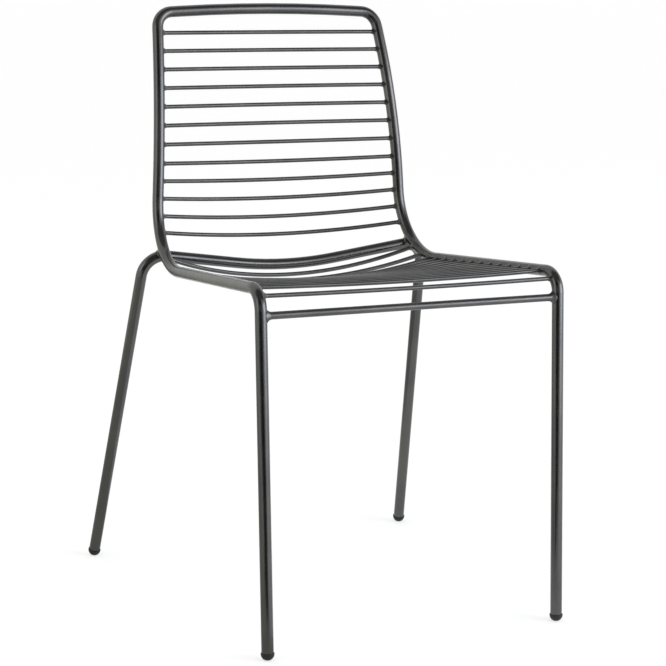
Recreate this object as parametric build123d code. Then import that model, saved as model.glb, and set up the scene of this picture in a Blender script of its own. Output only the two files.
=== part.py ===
from build123d import *
import math
import os

# Stacking garden chair, welded from round steel tube, bar and wire.
# Millimetres. +X is the sitter's left-right, the front of the chair faces -Y, +Z is up.
# The origin lies on the floor, midway between the front and the rear feet.
# Heights are measured from the floor to a tube's axis, widths from axis to axis.

# Stock
tube_diameter = 16.0
tube_wall = 1.5
wire_diameter = 6.0
bar_diameter = 10.0

# Feet, at the centre of each domed cap
foot_depth = 544.8
front_foot_width = 432.2
rear_foot_width = 510.8

# Main frame, at the points where its straight runs would meet
knee_width = 436.6
knee_height = 478.3
knee_setback = 30.4
rail_length = 415.1
rail_drop = 32.7
heel_width = 394.2
lumbar_width = 373.4
lumbar_rise = 216.0
lumbar_lean = 10.6
shoulder_width = 345.8
shoulder_rise = 141.5
shoulder_lean = 48.8
crown_rise = 8.9
knee_radius = 28.0
heel_radius = 96.5
lumbar_arc_share = 0.956
shoulder_radius = 24.5
crown_arc_share = 0.80

# Rear legs and the crosspiece that joins them behind the seat
hip_width = 442.8
hip_height = 468.6
hip_radius = 31.0
crosspiece_dip = 31.8
crosspiece_arc_share = 0.42
crosspiece_search_back = 24.0
crosspiece_search_front = 40.0
search_steps = 24

# Seat wires, evenly spaced along the tube from the end of the knee bend to the crosspiece.
# Those on the heel bend sag further by a share of the bend's rise.
seat_wire_count = 15
seat_wire_start = 6.2
last_gap_share = 0.83
front_sag = 3.6
sag_growth = 2.7
rear_sag = 25.3
sag_power = 2
heel_sag_share = 0.62

# Back wires, spaced along the tube from the crosspiece to the start of the shoulder bend,
# the lower ones a little closer
back_wire_count = 12
back_wire_start = 27.4
back_wire_top_gap = 9.0
back_low_gaps = 4
back_low_pitch_share = 0.925
edges_below_shoulder = 7
back_dip = 13.0
back_extra_bow = 14.0
back_bow = 5.0
back_dish_gaps = 6
back_dish_power = 1.5

# Front wire and front bar
front_wire_share = 0.48
front_wire_sag = 1.6
front_bar_height = 444.4

# Welds
weld_gap = 0.05
weld_root_share = 0.6
weld_root_fill_share = 0.98
weld_tip_share = 0.8
seam_turn = 17.0
seam_tries = 12
even_within = 0.05
wire_weld_reach = 3.5
bar_weld_reach = 5.0
cross_weld_radius = 6.5

# Foot caps
cap_diameter = 18.0
cap_flange = 1.0
cap_worn_depth = 0.5
cap_seat_gap = 0.05
plug_length = 20.0
plug_core_share = 0.8
plug_rib_clearance = 0.05
plug_rib_count = 3
plug_rib_thickness = 1.5
plug_tip_chamfer = 1.2

# Sizes that follow
tube_radius = tube_diameter / 2
bore_radius = tube_radius - tube_wall
wire_radius = wire_diameter / 2
cap_radius = cap_diameter / 2
cap_centre_height = cap_radius - cap_worn_depth
crown_lean = crown_rise * shoulder_lean / shoulder_rise


def mirrored(point):
    return Vector(-point.X, point.Y, point.Z)


def bend_reach(before, corner, after, radius):
    # Distance from a corner to where an arc of this radius leaves the straight run
    turn = (corner - before).get_angle(after - corner)
    return radius * math.tan(math.radians(turn) / 2)


def arc_radius(before, corner, after, reach):
    # Radius of the arc that leaves the straight run at this distance from the corner
    turn = (corner - before).get_angle(after - corner)
    return reach / math.tan(math.radians(turn) / 2)


def closed_path(half_points, half_radii, middle_radius):
    # A path that is the same on both sides: out along the half, back along its mirror image
    sides = half_points[:-1]
    points = half_points + [mirrored(point) for point in reversed(sides)]
    radii = half_radii + [middle_radius] + list(reversed(half_radii))
    return FilletPolyline(*points, radius=radii)


def across(origin, direction, turn=0):
    # Plane square to a direction, turned so that the seam of a round piece lies at its side
    side = Vector(0, 1, 0).rotate(Axis((0, 0, 0), direction), turn)
    return Plane(origin=origin, x_dir=side, z_dir=direction)


def rod(path, radius, turn=0):
    return sweep(across(path @ 0, path % 0, turn) * Circle(radius), path=path)


def tube(path):
    return rod(path, tube_radius) - rod(path, bore_radius)


def place_along(path, distance):
    return path.position_at(distance, position_mode=PositionMode.LENGTH)


def direction_along(path, distance):
    return path.tangent_at(distance, position_mode=PositionMode.LENGTH)


# Path of the main frame, from the right front foot to the middle of the top rail
front_foot = Vector(front_foot_width / 2, -foot_depth / 2, cap_centre_height)
knee = Vector(knee_width / 2, front_foot.Y + knee_setback, knee_height)
heel = Vector(heel_width / 2, knee.Y + rail_length, knee_height - rail_drop)
lumbar = Vector(lumbar_width / 2, heel.Y + lumbar_lean, heel.Z + lumbar_rise)
shoulder = Vector(shoulder_width / 2, lumbar.Y + shoulder_lean, lumbar.Z + shoulder_rise)
crown = Vector(0, shoulder.Y + crown_lean, shoulder.Z + crown_rise)
crown_radius = arc_radius(shoulder, crown, mirrored(shoulder), crown_arc_share * shoulder.X)
front_leg_direction = (knee - front_foot).normalized()
tube_start = cap_flange + cap_seat_gap
frame_points = [front_foot + front_leg_direction * tube_start, knee, heel, lumbar, shoulder, crown]
lumbar_run = (lumbar - heel).length - bend_reach(knee, heel, lumbar, heel_radius)
lumbar_radius = arc_radius(heel, lumbar, shoulder, lumbar_arc_share * lumbar_run)
frame_radii = [knee_radius, heel_radius, lumbar_radius, shoulder_radius]
frame_path = closed_path(frame_points, frame_radii, crown_radius)
frame_rod = rod(frame_path, tube_radius + weld_gap)


# Path of the rear legs, bent flat: a rear leg, its hip bend, and half of the crosspiece
def arch_path(crosspiece_back):
    foot = Vector(rear_foot_width / 2, foot_depth / 2, cap_centre_height)
    hip = Vector(hip_width / 2, crosspiece_back, hip_height)
    dip_back = crosspiece_dip * (foot.Y - hip.Y) / (hip.Z - foot.Z)
    middle = Vector(0, hip.Y + dip_back, hip.Z - crosspiece_dip)
    leg_direction = (hip - foot).normalized()
    start = foot + leg_direction * tube_start
    straight = (hip - middle).length - bend_reach(foot, hip, middle, hip_radius)
    middle_radius = arc_radius(hip, middle, mirrored(hip), crosspiece_arc_share * straight)
    return closed_path([start, hip, middle], [hip_radius], middle_radius)


# The crosspiece is pushed forward until it lies against the backs of the two heel bends
contact_distance = tube_diameter + weld_gap
back_limit = heel.Y + crosspiece_search_back
front_limit = heel.Y - crosspiece_search_front
for step in range(search_steps):
    crosspiece_back = (front_limit + back_limit) / 2
    if arch_path(crosspiece_back).distance_to(frame_path) < contact_distance:
        front_limit = crosspiece_back
    else:
        back_limit = crosspiece_back
rear_path = arch_path(back_limit)

parts = {}

# Main frame
parts["main_frame"] = tube(frame_path)

# Rear legs, with the two welds that hold the crosspiece to the main frame
_, on_frame, on_arch = frame_path.distance_to_with_closest_points(rear_path)
weld_side = Vector(abs(on_frame.X), on_frame.Y, on_frame.Z)
arch_side = Vector(abs(on_arch.X), on_arch.Y, on_arch.Z)
weld_lines = [Line(weld_side, arch_side), Line(mirrored(weld_side), mirrored(arch_side))]


def arch_rod(turn):
    piece = rod(rear_path, tube_radius)
    for weld_line in weld_lines:
        piece += rod(weld_line, cross_weld_radius, turn)
    return piece


def fitted(make_piece, flat_ends):
    # Cut to fit against the frame tubes. A cut that misses part of an end leaves it there as a
    # flat face or a loose solid, so the piece is made again with its seams turned, and the most
    # even one is kept.
    tries = []
    for attempt in range(seam_tries):
        piece = make_piece(attempt * seam_turn) - frame_rod
        flats = piece.faces().filter_by(GeomType.PLANE)
        missed = len(flats) != flat_ends or len(piece.solids()) != 1
        unevenness = abs(piece.center().X)
        tries.append((missed, unevenness, attempt, piece))
        if not missed and unevenness < even_within:
            break
    return min(tries)[-1]


parts["rear_leg_arch"] = fitted(arch_rod, 2) - rod(rear_path, bore_radius)


def welded_across(path, radius, weld_reach):
    # A wire or bar between the two sides, with a flared weld at each end
    def flared_rod(turn):
        piece = rod(path, radius, turn)
        root = tube_radius * weld_root_share
        root_radius = weld_root_fill_share * math.sqrt(tube_radius ** 2 - root ** 2)
        for place, direction in ((path @ 0, path % 0), (path @ 1, (path % 1) * -1)):
            piece += across(place + direction * root, direction, turn) * Cone(
                bottom_radius=root_radius,
                top_radius=radius * weld_tip_share,
                height=tube_radius + weld_reach - root,
                align=(Align.CENTER, Align.CENTER, Align.MIN),
            )
        return piece

    return fitted(flared_rod, 0)


# Lengths along the frame path: to both ends of the knee bend, to the crosspiece, to the shoulder
path_edges = frame_path.edges()
knee_start = path_edges[0].length
knee_end = knee_start + path_edges[1].length
heel_start = knee_end + path_edges[2].length
heel_bend = path_edges[3]
heel_centre = heel_bend.arc_center
heel_turn = ((heel_bend @ 0) - heel_centre).get_angle(weld_side - heel_centre)
crosspiece_place = heel_start + heel_radius * math.radians(heel_turn)
shoulder_start = sum(edge.length for edge in path_edges[:edges_below_shoulder])

# Seat wires, each sagging square to the tube that it crosses
seat_place = knee_end + seat_wire_start
seat_pitch = (crosspiece_place - seat_place) / (seat_wire_count - 1 + last_gap_share)
for number in range(seat_wire_count):
    share = number / (seat_wire_count - 1)
    bent = max(0, seat_place - heel_start) / heel_radius
    heel_rise = heel_radius * (1 - math.cos(bent))
    sag = front_sag + sag_growth * share + rear_sag * share ** sag_power
    sag += heel_sag_share * heel_rise
    end = place_along(frame_path, seat_place)
    run = direction_along(frame_path, seat_place)
    downward = Vector(0, run.Z, -run.Y).normalized()
    bow = ThreePointArc(end, Vector(0, end.Y, end.Z) + downward * sag, mirrored(end))
    seat_place += seat_pitch
    parts[f"seat_wire_{number + 1:02d}"] = welded_across(bow, wire_radius, wire_weld_reach)

# Back wires, made upwards and numbered from the top
back_place = crosspiece_place + back_wire_start
high_gaps = back_wire_count - 1 - back_low_gaps
back_run = shoulder_start - back_wire_top_gap - back_place
high_pitch = back_run / (high_gaps + back_low_gaps * back_low_pitch_share)
low_pitch = high_pitch * back_low_pitch_share
for gap in range(back_wire_count):
    dish = max(0, 1 - gap / back_dish_gaps) ** back_dish_power
    end = place_along(frame_path, back_place)
    middle = Vector(0, end.Y + back_bow + back_extra_bow * dish, end.Z - back_dip * dish)
    bow = ThreePointArc(end, middle, mirrored(end))
    parts[f"back_wire_{back_wire_count - gap:02d}"] = welded_across(bow, wire_radius, wire_weld_reach)
    back_place += low_pitch if gap < back_low_gaps else high_pitch

# Front wire across the knees
end = place_along(frame_path, knee_start + front_wire_share * path_edges[1].length)
bow = ThreePointArc(end, Vector(0, end.Y, end.Z - front_wire_sag), mirrored(end))
parts["front_wire"] = welded_across(bow, wire_radius, wire_weld_reach)

# Front bar between the front legs
bar_share = (front_bar_height - front_foot.Z) / (knee.Z - front_foot.Z)
bar_end = front_foot + (knee - front_foot) * bar_share
bar_line = Line(bar_end, mirrored(bar_end))
parts["front_bar"] = welded_across(bar_line, bar_diameter / 2, bar_weld_reach)


def foot_cap(centre, direction):
    # Domed head with a flange under the tube end, and a ribbed plug up the bore
    upright = (Align.CENTER, Align.CENTER, Align.MIN)
    plug_radius = bore_radius * plug_core_share
    rib_pitch = (plug_length - plug_tip_chamfer) / (plug_rib_count + 1)
    head = Sphere(cap_radius) & Pos(0, 0, -cap_radius) * Cylinder(
        cap_radius, cap_radius, align=upright
    )
    cap = head + Cylinder(cap_radius, cap_flange, align=upright)
    plug = Pos(0, 0, cap_flange) * Cylinder(plug_radius, plug_length, align=upright)
    plug = chamfer(plug.edges().group_by(Axis.Z)[-1], plug_tip_chamfer)
    cap += plug
    for rib in range(plug_rib_count):
        rib_height = cap_flange + (rib + 1) * rib_pitch - plug_rib_thickness / 2
        cap += Pos(0, 0, rib_height) * Cylinder(
            bore_radius - plug_rib_clearance, plug_rib_thickness, align=upright
        )
    placed = across(centre, direction) * cap
    floor_block = Pos(centre.X, centre.Y, 0) * Box(
        cap_diameter * 2, cap_diameter * 2, cap_diameter, align=(Align.CENTER, Align.CENTER, Align.MAX)
    )
    return placed - floor_block


# Foot caps, the right ones first and the left ones as their mirror images
rear_foot = Vector(rear_foot_width / 2, foot_depth / 2, cap_centre_height)
rear_leg_direction = rear_path % 0
for row, centre, direction in (
    ("front", front_foot, front_leg_direction),
    ("rear", rear_foot, rear_leg_direction),
):
    right_cap = foot_cap(centre, direction)
    parts[f"foot_cap_{row}_right"] = right_cap
    parts[f"foot_cap_{row}_left"] = mirror(right_cap, about=Plane.YZ)

os.makedirs("parts", exist_ok=True)
for node, shape in parts.items():
    solid = shape.solids()[0]
    solid.label = node
    export_step(solid, f"parts/{node}.step")
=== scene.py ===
import math

import bpy
from mathutils import Matrix, Vector


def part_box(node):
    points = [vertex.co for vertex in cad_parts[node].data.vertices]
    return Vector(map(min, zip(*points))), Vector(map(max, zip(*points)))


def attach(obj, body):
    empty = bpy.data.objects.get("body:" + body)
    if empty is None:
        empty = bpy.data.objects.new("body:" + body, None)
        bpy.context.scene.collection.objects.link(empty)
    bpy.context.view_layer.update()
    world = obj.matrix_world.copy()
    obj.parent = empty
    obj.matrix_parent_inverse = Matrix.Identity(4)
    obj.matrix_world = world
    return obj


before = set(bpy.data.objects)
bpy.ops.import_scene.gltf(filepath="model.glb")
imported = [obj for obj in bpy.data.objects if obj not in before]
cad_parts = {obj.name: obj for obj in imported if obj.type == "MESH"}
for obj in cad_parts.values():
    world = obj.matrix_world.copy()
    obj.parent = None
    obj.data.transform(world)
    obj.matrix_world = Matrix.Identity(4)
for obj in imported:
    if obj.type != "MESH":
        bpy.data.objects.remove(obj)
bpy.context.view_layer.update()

# Stacking garden chair, seen from its front left and a little above the seat. Metres.
# +X is to the right along +Y, the front of the chair faces -Y, and the floor is at z = 0.

# Camera
# It stands in front of the chair and to its left, at about the height of the back,
# and is held a degree off level.
camera_data = bpy.data.cameras.new("camera")
camera_data.lens = 122.07
camera_data.sensor_width = 36.0
camera_data.shift_x = -0.00595
camera_data.shift_y = 0.01490
camera_data.clip_start = 0.05
camera_data.clip_end = 500.0
camera = bpy.data.objects.new("camera", camera_data)
bpy.context.scene.collection.objects.link(camera)
camera_place = Vector((-1.36075, -2.80819, 0.93777))
camera_azimuth = math.radians(-25.988)
camera_elevation = math.radians(10.614)
camera_roll = math.radians(1.001)
camera.matrix_world = (
    Matrix.Translation(camera_place)
    @ Matrix.Rotation(camera_azimuth, 4, "Z")
    @ Matrix.Rotation(math.radians(90) - camera_elevation, 4, "X")
    @ Matrix.Rotation(camera_roll, 4, "Z")
)
bpy.context.scene.camera = camera
bpy.context.scene.view_settings.view_transform = "Standard"


# Main frame
# One length of round steel tube, bent into both front legs, the seat rails, the back uprights and
# the top rail. It is coated after welding with a dark graphite powder that holds metallic flake,
# baked to a satin skin with a faint orange peel.
def add_node(tree, kind, settings=None, **sockets):
    made = tree.nodes.new(kind)
    for name, value in (settings or {}).items():
        setattr(made, name, value)
    for name, value in sockets.items():
        made.inputs[name.replace("_", " ")].default_value = value
    return made


def powder_coat_group():
    # Slow drifts of tone, cloudy gloss, flake and orange peel, all in the piece's own coordinates
    tree = bpy.data.node_groups.new("powder_coat", "ShaderNodeTree")
    sockets = tree.interface
    sockets.new_socket("Vector", in_out="INPUT", socket_type="NodeSocketVector")
    sockets.new_socket("Deep", in_out="INPUT", socket_type="NodeSocketColor")
    sockets.new_socket("Pale", in_out="INPUT", socket_type="NodeSocketColor")
    for name, value in (
        ("Tone Scale", 14.0),
        ("Cloud Scale", 60.0),
        ("Peel Scale", 900.0),
        ("Smoothest", 0.18),
        ("Roughest", 0.27),
    ):
        made = sockets.new_socket(name, in_out="INPUT", socket_type="NodeSocketFloat")
        made.default_value = value
    sockets.new_socket("Color", in_out="OUTPUT", socket_type="NodeSocketColor")
    sockets.new_socket("Roughness", in_out="OUTPUT", socket_type="NodeSocketFloat")
    sockets.new_socket("Height", in_out="OUTPUT", socket_type="NodeSocketFloat")
    given = add_node(tree, "NodeGroupInput")
    result = add_node(tree, "NodeGroupOutput")
    tone = add_node(tree, "ShaderNodeTexNoise", Detail=3.0, Roughness=0.55)
    cloud = add_node(tree, "ShaderNodeTexNoise", Detail=4.0, Roughness=0.6)
    peel = add_node(tree, "ShaderNodeTexNoise", Detail=2.0, Roughness=0.45)
    flake = add_node(tree, "ShaderNodeTexVoronoi", {"feature": "F1"}, Scale=2600.0)
    tone_spread = add_node(
        tree, "ShaderNodeMapRange", From_Min=0.34, From_Max=0.66, To_Min=0.0, To_Max=1.0
    )
    flake_spread = add_node(
        tree, "ShaderNodeMapRange", From_Min=0.0, From_Max=1.0, To_Min=-0.12, To_Max=0.12
    )
    with_flake = add_node(tree, "ShaderNodeMath", {"operation": "ADD", "use_clamp": True})
    coat_color = add_node(tree, "ShaderNodeMix", {"data_type": "RGBA"})
    gloss = add_node(tree, "ShaderNodeMapRange", From_Min=0.3, From_Max=0.7)
    for texture, scale in ((tone, "Tone Scale"), (cloud, "Cloud Scale"), (peel, "Peel Scale")):
        tree.links.new(given.outputs["Vector"], texture.inputs["Vector"])
        tree.links.new(given.outputs[scale], texture.inputs["Scale"])
    tree.links.new(given.outputs["Vector"], flake.inputs["Vector"])
    tree.links.new(tone.outputs["Fac"], tone_spread.inputs["Value"])
    tree.links.new(flake.outputs["Color"], flake_spread.inputs["Value"])
    tree.links.new(tone_spread.outputs["Result"], with_flake.inputs[0])
    tree.links.new(flake_spread.outputs["Result"], with_flake.inputs[1])
    tree.links.new(with_flake.outputs["Value"], coat_color.inputs["Factor"])
    tree.links.new(given.outputs["Deep"], coat_color.inputs["A"])
    tree.links.new(given.outputs["Pale"], coat_color.inputs["B"])
    tree.links.new(coat_color.outputs["Result"], result.inputs["Color"])
    tree.links.new(cloud.outputs["Fac"], gloss.inputs["Value"])
    tree.links.new(given.outputs["Smoothest"], gloss.inputs["To Min"])
    tree.links.new(given.outputs["Roughest"], gloss.inputs["To Max"])
    tree.links.new(gloss.outputs["Result"], result.inputs["Roughness"])
    tree.links.new(peel.outputs["Fac"], result.inputs["Height"])
    return tree


powder_coat = powder_coat_group()


def coated_steel(name, deep, pale, peel_depth, **sizes):
    material = bpy.data.materials.new(name)
    material.use_nodes = True
    tree = material.node_tree
    shader = tree.nodes["Principled BSDF"]
    shader.inputs["Metallic"].default_value = 0.92
    shader.inputs["Coat Weight"].default_value = 0.12
    shader.inputs["Coat Roughness"].default_value = 0.18
    place = add_node(tree, "ShaderNodeTexCoord")
    coat = add_node(tree, "ShaderNodeGroup", {"node_tree": powder_coat}, Deep=deep, Pale=pale)
    for socket, value in sizes.items():
        coat.inputs[socket.replace("_", " ")].default_value = value
    peel = add_node(tree, "ShaderNodeBump", Strength=0.5, Distance=peel_depth)
    tree.links.new(place.outputs["Object"], coat.inputs["Vector"])
    tree.links.new(coat.outputs["Color"], shader.inputs["Base Color"])
    tree.links.new(coat.outputs["Roughness"], shader.inputs["Roughness"])
    tree.links.new(coat.outputs["Height"], peel.inputs["Height"])
    tree.links.new(peel.outputs["Normal"], shader.inputs["Normal"])
    return material


tube_coat = coated_steel(
    "graphite_tube_coat",
    deep=(0.084, 0.084, 0.084, 1.0),
    pale=(0.106, 0.105, 0.101, 1.0),
    peel_depth=0.000012,
)
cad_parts["main_frame"].material_slots[0].material = tube_coat

# Rear legs
# A second tube of the same stock, bent into an upside-down U. Its crosspiece passes behind the
# seat and is welded to the two rear bends of the main frame, and it was coated with the frame.
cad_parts["rear_leg_arch"].material_slots[0].material = tube_coat

# Seat wires, back wires, front wire and front bar
# Drawn steel wire and a thicker round bar, each bowed, cut to length and welded between the two
# sides. The powder lies a little thicker and rougher on thin wire than on the tube.
wire_coat = coated_steel(
    "graphite_wire_coat",
    deep=(0.082, 0.082, 0.082, 1.0),
    pale=(0.106, 0.105, 0.101, 1.0),
    peel_depth=0.00001,
    Tone_Scale=22.0,
    Cloud_Scale=110.0,
    Peel_Scale=1100.0,
    Smoothest=0.27,
    Roughest=0.38,
)
for name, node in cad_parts.items():
    if "wire" in name or name == "front_bar":
        node.material_slots[0].material = wire_coat


# Welds of the wires and the front bar
# A short bead of weld runs round every end where it meets the tube, flared along the tube and
# coated with the frame. One bead is modelled round a stub, and a copy is set at each end.
tube_radius = 0.008
sample_tube_length = 0.06
same_height = 0.00005
edge_tuck = 0.0008
edge_tuck_share = 0.9
lump_height = 0.0005
lump_size = 0.0022
weld_coat = coated_steel(
    "graphite_weld_coat",
    deep=(0.080, 0.080, 0.080, 1.0),
    pale=(0.106, 0.105, 0.101, 1.0),
    peel_depth=0.00008,
    Tone_Scale=60.0,
    Cloud_Scale=240.0,
    Peel_Scale=420.0,
    Smoothest=0.24,
    Roughest=0.36,
)


def lying_tube(name, height, turn):
    # A plain length of the frame's tube, only there to press a bead's edge onto
    bpy.ops.object.select_all(action="DESELECT")
    bpy.ops.mesh.primitive_cylinder_add(
        vertices=160, radius=tube_radius, depth=sample_tube_length, end_fill_type="NOTHING",
        location=(0.0, 0.0, height), rotation=turn,
    )
    tube = bpy.context.object
    tube.name = name
    return tube


def select_ring(bead, height):
    # The ring of points at this height, in vertex mode
    bpy.ops.object.mode_set(mode="OBJECT")
    for part in (bead.data.polygons, bead.data.edges):
        for item in part:
            item.select = False
    for vertex in bead.data.vertices:
        vertex.select = abs(vertex.co.z - height) < same_height
    bpy.ops.object.mode_set(mode="EDIT")


def ring_across(bead, height, scale):
    # A new ring of points round the bead, drawn in or out
    bpy.ops.mesh.select_all(action="SELECT")
    bpy.ops.mesh.bisect(plane_co=(0.0, 0.0, height), plane_no=(0.0, 0.0, 1.0))
    bpy.ops.transform.resize(value=(scale, scale, 1.0))


def press_ring(bead, height, tube, upwards):
    # The ring is pressed along Z onto the tube, and its edge is turned into the steel
    select_ring(bead, height)
    bpy.ops.object.mode_set(mode="OBJECT")
    edge = bead.vertex_groups.new(name=tube.name)
    edge.add([vertex.index for vertex in bead.data.vertices if vertex.select], 1.0, "REPLACE")
    press = bead.modifiers.new("press", "SHRINKWRAP")
    press.target = tube
    press.wrap_method = "PROJECT"
    press.use_project_z = True
    press.use_positive_direction = upwards
    press.use_negative_direction = not upwards
    press.vertex_group = tube.name
    bpy.ops.object.modifier_apply(modifier=press.name)
    bpy.ops.object.mode_set(mode="EDIT")
    bpy.ops.mesh.select_all(action="DESELECT")
    bpy.ops.object.vertex_group_set_active(group=tube.name)
    bpy.ops.object.vertex_group_select()
    bpy.ops.mesh.extrude_region_move(
        TRANSFORM_OT_translate={"value": (0.0, 0.0, edge_tuck if upwards else -edge_tuck)}
    )
    bpy.ops.transform.resize(value=(edge_tuck_share, edge_tuck_share, 1.0))


def finish_bead(bead, levels):
    # Closed, rounded, made a little lumpy as weld is, and coated
    bpy.ops.mesh.select_all(action="SELECT")
    bpy.ops.mesh.fill_holes(sides=0)
    bpy.ops.mesh.select_all(action="SELECT")
    bpy.ops.mesh.normals_make_consistent(inside=False)
    bpy.ops.object.mode_set(mode="OBJECT")
    bead.vertex_groups.clear()
    rounded = bead.modifiers.new("rounded", "SUBSURF")
    rounded.levels = levels
    rounded.render_levels = levels
    bpy.ops.object.modifier_apply(modifier=rounded.name)
    lumps = bead.modifiers.new("lumps", "DISPLACE")
    lumps.texture = weld_lumps
    lumps.texture_coords = "LOCAL"
    lumps.strength = lump_height
    bpy.ops.object.modifier_apply(modifier=lumps.name)
    bpy.ops.object.shade_smooth()
    bead.data.materials.append(weld_coat)


weld_lumps = bpy.data.textures.new("weld_lumps", "CLOUDS")
weld_lumps.noise_scale = lump_size


def end_bead(name, stub_radius, along, across, reach):
    # The bead of one end: the stub stands along Z on a tube that lies along Y
    collar_share = 1.01
    collar_height = 0.0004
    waist_height_share = 0.3
    waist_flare_share = 0.24
    tube = lying_tube(name + "_tube", 0.0, (math.radians(90), 0.0, 0.0))
    bpy.ops.object.select_all(action="DESELECT")
    bpy.ops.mesh.primitive_cone_add(
        vertices=28, radius1=along, radius2=stub_radius * collar_share, depth=reach,
        end_fill_type="NOTHING", location=(0.0, 0.0, tube_radius + reach / 2),
    )
    bead = bpy.context.object
    bead.name = name
    bpy.ops.object.transform_apply(location=True)
    select_ring(bead, tube_radius)
    bpy.ops.transform.resize(value=(across / along, 1.0, 1.0))
    middle_height = tube_radius + reach * waist_height_share
    middle_radius = stub_radius + (along - stub_radius) * waist_flare_share
    cone_radius = stub_radius + (along - stub_radius) * (1 - waist_height_share)
    ring_across(bead, middle_height, middle_radius / cone_radius)
    press_ring(bead, tube_radius, tube, upwards=False)
    select_ring(bead, tube_radius + reach)
    bpy.ops.mesh.extrude_region_move(TRANSFORM_OT_translate={"value": (0.0, 0.0, collar_height)})
    bpy.ops.transform.resize(value=(edge_tuck_share, edge_tuck_share, 1.0))
    finish_bead(bead, levels=1)
    bpy.data.objects.remove(tube)
    return bead


def box_centre(points):
    return Vector([(min(p[i] for p in points) + max(p[i] for p in points)) / 2 for i in range(3)])


def right_end(node):
    # Where the end's axis meets the tube's axis, and a place on the end's axis clear of the tube
    end_length = 0.005
    middle_length = 0.003
    clear_distance = 0.006
    points = [vertex.co for vertex in node.data.vertices]
    reach = max(point.x for point in points)
    end = box_centre([point for point in points if point.x > reach - end_length])
    inmost = min(abs(point.x) for point in points)
    middle = box_centre([point for point in points if abs(point.x) < inmost + middle_length])
    bowed = 1 - (inmost / reach) ** 2
    slope = (middle - end) * (2 / (bowed * reach)) if bowed > 0.5 else Vector()
    slope.x = -1.0
    clear = Vector((reach, end.y, end.z)) + slope * clear_distance
    _, touch, _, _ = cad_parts["main_frame"].closest_point_on_mesh(clear)
    return touch + (touch - clear).normalized() * tube_radius, clear


def set_bead(bead, name, centre, outwards, run):
    # A copy of the bead with its Z outwards from the tube and its Y along it
    z_side = outwards.normalized()
    x_side = run.cross(z_side).normalized()
    y_side = z_side.cross(x_side)
    turn = Matrix((x_side, y_side, z_side)).transposed().to_4x4()
    mesh = bead.data.copy()
    mesh.transform(Matrix.Translation(centre) @ turn)
    weld = bpy.data.objects.new(name, mesh)
    bpy.context.scene.collection.objects.link(weld)
    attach(weld, "root")


wire_bead = end_bead("wire_bead", stub_radius=0.003, along=0.0055, across=0.0050, reach=0.0040)
bar_bead = end_bead("bar_bead", stub_radius=0.005, along=0.0095, across=0.0070, reach=0.0065)
ends_up_the_tube = (
    ["front_bar", "front_wire"]
    + [f"seat_wire_{number:02d}" for number in range(1, 16)]
    + [f"back_wire_{number:02d}" for number in range(12, 0, -1)]
)
right_ends = [right_end(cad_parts[name]) for name in ends_up_the_tube]
centres = [centre for centre, clear in right_ends]
low_cap, high_cap = (Vector(corner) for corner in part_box("foot_cap_front_right"))
stations = [(low_cap + high_cap) / 2] + centres + [centres[-1] * 2 - centres[-2]]
for place, name in enumerate(ends_up_the_tube):
    centre, clear = right_ends[place]
    below = (centre - stations[place]).normalized()
    above = (stations[place + 2] - centre).normalized()
    bead = bar_bead if name == "front_bar" else wire_bead
    for side, flip in (("right", 1.0), ("left", -1.0)):
        across = Vector((flip, 1.0, 1.0))
        set_bead(bead, f"weld_{name}_{side}", centre * across, (clear - centre) * across,
                 (below + above) * across)

# Welds of the crosspiece
# Two larger beads, one on each side, fill the crease where the crosspiece of the rear legs lies
# against the rear bend of the frame.
crosspiece_touch = Vector((0.19587, 0.15487, 0.46403))
frame_touch = Vector((0.19727, 0.14454, 0.47623))
crease_radius = 0.0078
crease_height = 0.001
crease_flare = 1.4
crease_waist_share = 0.76
frame_run = centres[ends_up_the_tube.index("back_wire_12")] - centres[
    ends_up_the_tube.index("seat_wire_15")
]
upper_tube = lying_tube("upper_tube", tube_radius, (math.radians(90), 0.0, 0.0))
lower_tube = lying_tube("lower_tube", -tube_radius, (0.0, math.radians(90), 0.0))
bpy.ops.object.select_all(action="DESELECT")
bpy.ops.mesh.primitive_cylinder_add(
    vertices=36, radius=crease_radius, depth=crease_height, end_fill_type="NOTHING",
    location=(0.0, 0.0, 0.0),
)
cross_bead = bpy.context.object
cross_bead.name = "cross_bead"
select_ring(cross_bead, -crease_height / 2)
bpy.ops.transform.resize(value=(1.0, crease_flare, 1.0))
select_ring(cross_bead, crease_height / 2)
bpy.ops.transform.resize(value=(crease_flare, 1.0, 1.0))
ring_across(cross_bead, 0.0, crease_waist_share)
press_ring(cross_bead, -crease_height / 2, upper_tube, upwards=True)
press_ring(cross_bead, crease_height / 2, lower_tube, upwards=False)
finish_bead(cross_bead, levels=2)
for side, flip in (("right", 1.0), ("left", -1.0)):
    across = Vector((flip, 1.0, 1.0))
    set_bead(cross_bead, f"weld_crosspiece_{side}", (crosspiece_touch + frame_touch) / 2 * across,
             (frame_touch - crosspiece_touch) * across, frame_run * across)
for spare in (wire_bead, bar_bead, cross_bead, upper_tube, lower_tube):
    bpy.data.objects.remove(spare)


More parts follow.
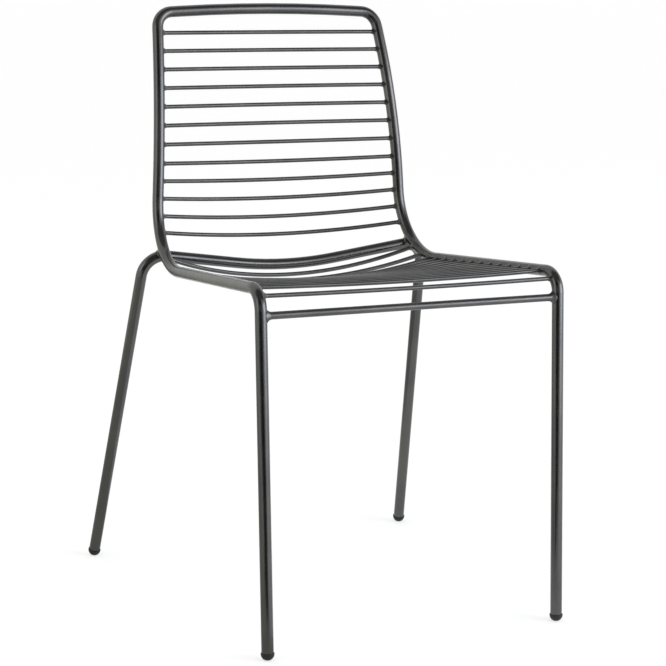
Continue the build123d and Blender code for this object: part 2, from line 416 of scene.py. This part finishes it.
# Foot caps
# Four black plastic caps, moulded in one piece with a ribbed plug that is pushed up the bore of
# each leg. The domes have a fine spark-eroded grain and are scuffed where they meet the floor.
def moulded_plastic(name):
    material = bpy.data.materials.new(name)
    material.use_nodes = True
    tree = material.node_tree
    shader = tree.nodes["Principled BSDF"]
    shader.inputs["Specular IOR Level"].default_value = 0.45
    place = add_node(tree, "ShaderNodeTexCoord")
    grain = add_node(tree, "ShaderNodeTexNoise", Scale=2200.0, Detail=2.0)
    scuff = add_node(tree, "ShaderNodeTexNoise", Scale=420.0, Detail=5.0, Roughness=0.7)
    height = add_node(tree, "ShaderNodeSeparateXYZ")
    near_floor = add_node(
        tree, "ShaderNodeMapRange", {"interpolation_type": "SMOOTHSTEP"},
        From_Min=0.0004, From_Max=0.0035, To_Min=1.0, To_Max=0.0,
    )
    worn = add_node(tree, "ShaderNodeMath", {"operation": "MULTIPLY"})
    color = add_node(
        tree, "ShaderNodeMix", {"data_type": "RGBA"},
        A=(0.012, 0.012, 0.013, 1.0), B=(0.075, 0.073, 0.070, 1.0),
    )
    gloss = add_node(tree, "ShaderNodeMapRange", To_Min=0.42, To_Max=0.72)
    bump = add_node(tree, "ShaderNodeBump", Strength=0.6, Distance=0.00004)
    tree.links.new(place.outputs["Object"], grain.inputs["Vector"])
    tree.links.new(place.outputs["Object"], scuff.inputs["Vector"])
    tree.links.new(place.outputs["Object"], height.inputs["Vector"])
    tree.links.new(height.outputs["Z"], near_floor.inputs["Value"])
    tree.links.new(near_floor.outputs["Result"], worn.inputs[0])
    tree.links.new(scuff.outputs["Fac"], worn.inputs[1])
    tree.links.new(worn.outputs["Value"], color.inputs["Factor"])
    tree.links.new(color.outputs["Result"], shader.inputs["Base Color"])
    tree.links.new(scuff.outputs["Fac"], gloss.inputs["Value"])
    tree.links.new(gloss.outputs["Result"], shader.inputs["Roughness"])
    tree.links.new(grain.outputs["Fac"], bump.inputs["Height"])
    tree.links.new(bump.outputs["Normal"], shader.inputs["Normal"])
    return material


cap_plastic = moulded_plastic("black_cap_plastic")
for name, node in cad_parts.items():
    if name.startswith("foot_cap"):
        node.material_slots[0].material = cap_plastic


# Floor
# A wide sheet of white studio vinyl. To the eye and in reflections it glows a little, so that it
# runs into the white behind without a horizon, and it still takes the shadow of the chair.
def seen_directly(tree):
    # 1 for rays from the camera, from gloss and through glass, and 0 for rays that carry light
    rays = add_node(tree, "ShaderNodeLightPath")
    seen = add_node(tree, "ShaderNodeMath", {"operation": "MAXIMUM"})
    seen_through = add_node(tree, "ShaderNodeMath", {"operation": "MAXIMUM"})
    tree.links.new(rays.outputs["Is Camera Ray"], seen.inputs[0])
    tree.links.new(rays.outputs["Is Glossy Ray"], seen.inputs[1])
    tree.links.new(seen.outputs["Value"], seen_through.inputs[0])
    tree.links.new(rays.outputs["Is Transmission Ray"], seen_through.inputs[1])
    return seen_through.outputs["Value"]


floor_width = 400.0
bpy.ops.object.select_all(action="DESELECT")
bpy.ops.mesh.primitive_plane_add(size=floor_width, location=(0.0, 0.0, 0.0))
floor = bpy.context.object
floor.name = "floor"
floor_vinyl = bpy.data.materials.new("white_floor_vinyl")
floor_vinyl.use_nodes = True
tree = floor_vinyl.node_tree
shader = tree.nodes["Principled BSDF"]
shader.inputs["Base Color"].default_value = (0.56, 0.56, 0.56, 1.0)
shader.inputs["Roughness"].default_value = 0.9
shader.inputs["Specular IOR Level"].default_value = 0.1
shader.inputs["Emission Color"].default_value = (1.0, 1.0, 1.0, 1.0)
glow = add_node(tree, "ShaderNodeMath", {"operation": "MULTIPLY"})
glow.inputs[1].default_value = 0.62
tree.links.new(seen_directly(tree), glow.inputs[0])
tree.links.new(glow.outputs["Value"], shader.inputs["Emission Strength"])
floor.data.materials.append(floor_vinyl)

# Studio walls
# The white room round the chair: white where it is seen, and a soft grey fill light elsewhere.
world = bpy.data.worlds.new("white_room")
world.use_nodes = True
bpy.context.scene.world = world
tree = world.node_tree
walls = tree.nodes["Background"]
wall_color = add_node(
    tree, "ShaderNodeMix", {"data_type": "RGBA"},
    A=(0.62, 0.62, 0.62, 1.0), B=(1.0, 1.0, 1.0, 1.0),
)
tree.links.new(seen_directly(tree), wall_color.inputs["Factor"])
tree.links.new(wall_color.outputs["Result"], walls.inputs["Color"])


# Studio boards
# Dull boards that only show as lines along the tubes: black and dark grey ones behind the camera,
# on the floor before it and over the chair, a pale mat on the floor behind the chair at the left,
# and a grey sheet beside and under the chair that is painted shade: in reflections it stands for
# the floor darkened under the chair.
def studio_board(name, centre, facing, width, height, tone):
    bpy.ops.object.select_all(action="DESELECT")
    turn = Vector(facing).to_track_quat("Z", "Y").to_euler()
    bpy.ops.mesh.primitive_plane_add(size=1.0, location=centre, rotation=turn)
    board = bpy.context.object
    board.name = name
    board.scale = (width, height, 1.0)
    bpy.ops.object.transform_apply(location=True, rotation=True, scale=True)
    cloth = bpy.data.materials.new(name + "_cloth")
    cloth.use_nodes = True
    dull = cloth.node_tree.nodes["Principled BSDF"]
    dull.inputs["Base Color"].default_value = (0.0, 0.0, 0.0, 1.0)
    dull.inputs["Specular IOR Level"].default_value = 0.0
    dull.inputs["Emission Color"].default_value = (*tone, 1.0)
    dull.inputs["Emission Strength"].default_value = 1.0
    board.data.materials.append(cloth)
    board.visible_camera = False
    board.visible_diffuse = False
    board.visible_transmission = False
    board.visible_shadow = False


black = (0.01, 0.01, 0.01)
towards_chair = (0.51, 0.86, 0.0)
for name, low, high, tone in (
    ("board_behind_camera", -0.05, 1.1, black),
    ("strip_behind_camera", 1.1, 3.2, (0.30, 0.30, 0.30)),
    ("board_above_camera", 3.2, 8.0, black),
):
    studio_board(name, (-3.3, -5.6, (low + high) / 2), towards_chair, 8.0, high - low, tone)
upwards = (0.0, 0.0, 1.0)
downwards = (0.0, 0.0, -1.0)
board_height = 0.002
studio_board("board_before_camera", (-2.1, -3.55, board_height), upwards, 4.6, 4.7,
             (0.03, 0.03, 0.03))
studio_board("board_near_feet", (-0.47, -0.88, board_height), upwards, 0.66, 0.64, black)
studio_board("board_overhead", (0.0, -1.5, 4.2), downwards, 9.0, 4.0, (0.2, 0.2, 0.2))
# A grey sheet seen only in reflections, painted shade: it stands for the floor darkened under and
# beside the chair.
studio_board("painted_shade_under_chair", (-0.85, 0.5, board_height), upwards, 1.5, 2.2, (0.62, 0.62, 0.58))
studio_board("mat_behind_chair", (-2.2, 4.1, board_height), upwards, 4.2, 5.0, (0.88, 0.86, 0.70))


# Soft lights
# A large cool soft box to the right of the camera and a dimmer warm one on the left.
def soft_box(name, place, target, width, height, watts, color):
    lamp_data = bpy.data.lights.new(name, "AREA")
    lamp_data.shape = "RECTANGLE"
    lamp_data.size = width
    lamp_data.size_y = height
    lamp_data.energy = watts
    lamp_data.color = color
    lamp = bpy.data.objects.new(name, lamp_data)
    bpy.context.scene.collection.objects.link(lamp)
    lamp.location = place
    lamp.rotation_euler = (Vector(target) - Vector(place)).to_track_quat("-Z", "Y").to_euler()


seat_centre = (0.0, 0.0, 0.45)
soft_box("soft_box_right", (3.1, -3.1, 1.3), seat_centre, 3.4, 2.6, 112.0, (0.82, 0.88, 1.0))
soft_box("soft_box_left", (-4.2, -0.6, 1.5), seat_centre, 2.4, 2.4, 12.0, (1.0, 0.98, 0.92))
